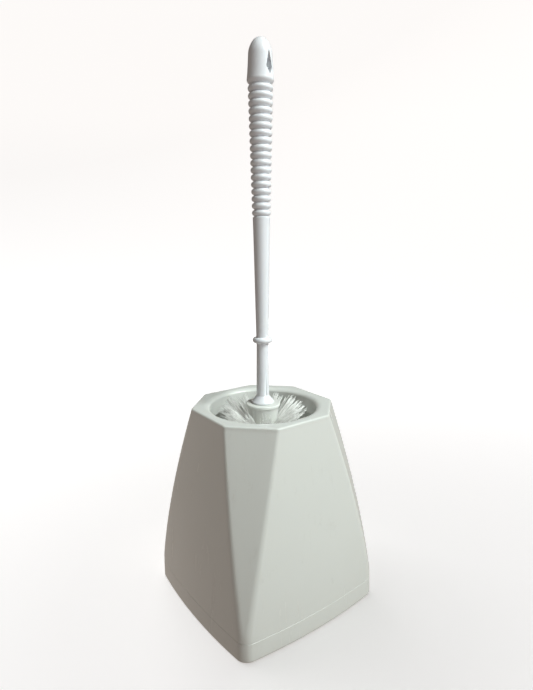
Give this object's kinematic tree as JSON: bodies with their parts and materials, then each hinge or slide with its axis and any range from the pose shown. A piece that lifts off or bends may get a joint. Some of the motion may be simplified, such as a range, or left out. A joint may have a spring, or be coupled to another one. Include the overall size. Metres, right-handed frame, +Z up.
{
  "type": "toilet brush with holder",
  "caption": "Toilet brush with a ringed handle and round bristle head, standing in a flared holder that lifts off its drip tray.",
  "frame": {"origin": "centre of the foot, on the floor that the holder stands on", "axes": "+Z up along the brush handle; the holder's four broad sides face +X, -X, +Y and -Y"},
  "size_m": [0.1296, 0.1296, 0.4],
  "materials": {
    "holder_plastic": "glossy moulded off-white",
    "handle_plastic": "glossy moulded cool white",
    "head_plastic": "glossy moulded off-white",
    "bristle_nylon": "translucent white filament",
    "staple_wire": "drawn wire"
  },
  "bodies": {
    "base": {"base_tray": "holder_plastic"},
    "holder": {"holder_body": "holder_plastic"},
    "head": {"brush_head": "head_plastic", "bristle_row_01": "bristle_nylon", "bristle_row_02": "bristle_nylon", "bristle_row_03": "bristle_nylon", "bristle_row_04": "bristle_nylon", "bristle_row_05": "bristle_nylon", "bristle_row_06": "bristle_nylon", "bristle_row_07": "bristle_nylon", "bristle_row_08": "bristle_nylon", "bristle_row_09": "bristle_nylon", "bristle_row_10": "bristle_nylon", "bristle_end": "bristle_nylon", "staples_row_01": "staple_wire", "staples_row_02": "staple_wire", "staples_row_03": "staple_wire", "staples_row_04": "staple_wire", "staples_row_05": "staple_wire", "staples_row_06": "staple_wire", "staples_row_07": "staple_wire", "staples_row_08": "staple_wire", "staples_row_09": "staple_wire", "staples_row_10": "staple_wire", "staples_end": "staple_wire"},
    "handle": {"brush_handle": "handle_plastic"}
  },
  "joints": [
    {"name": "brush_lift", "type": "slide", "parent": "base", "child": "head", "axis": [0, 0, 1], "range_m": [0, 0.2]},
    {"name": "handle_unscrew", "type": "hinge", "parent": "head", "child": "handle", "pos_m": [0, 0, 0.145], "axis": [0, 0, 1], "range_deg": [0, 990]},
    {"name": "holder_lift", "type": "slide", "parent": "base", "child": "holder", "axis": [0, 0, 1], "range_m": [0, 0.2]}
  ]
}
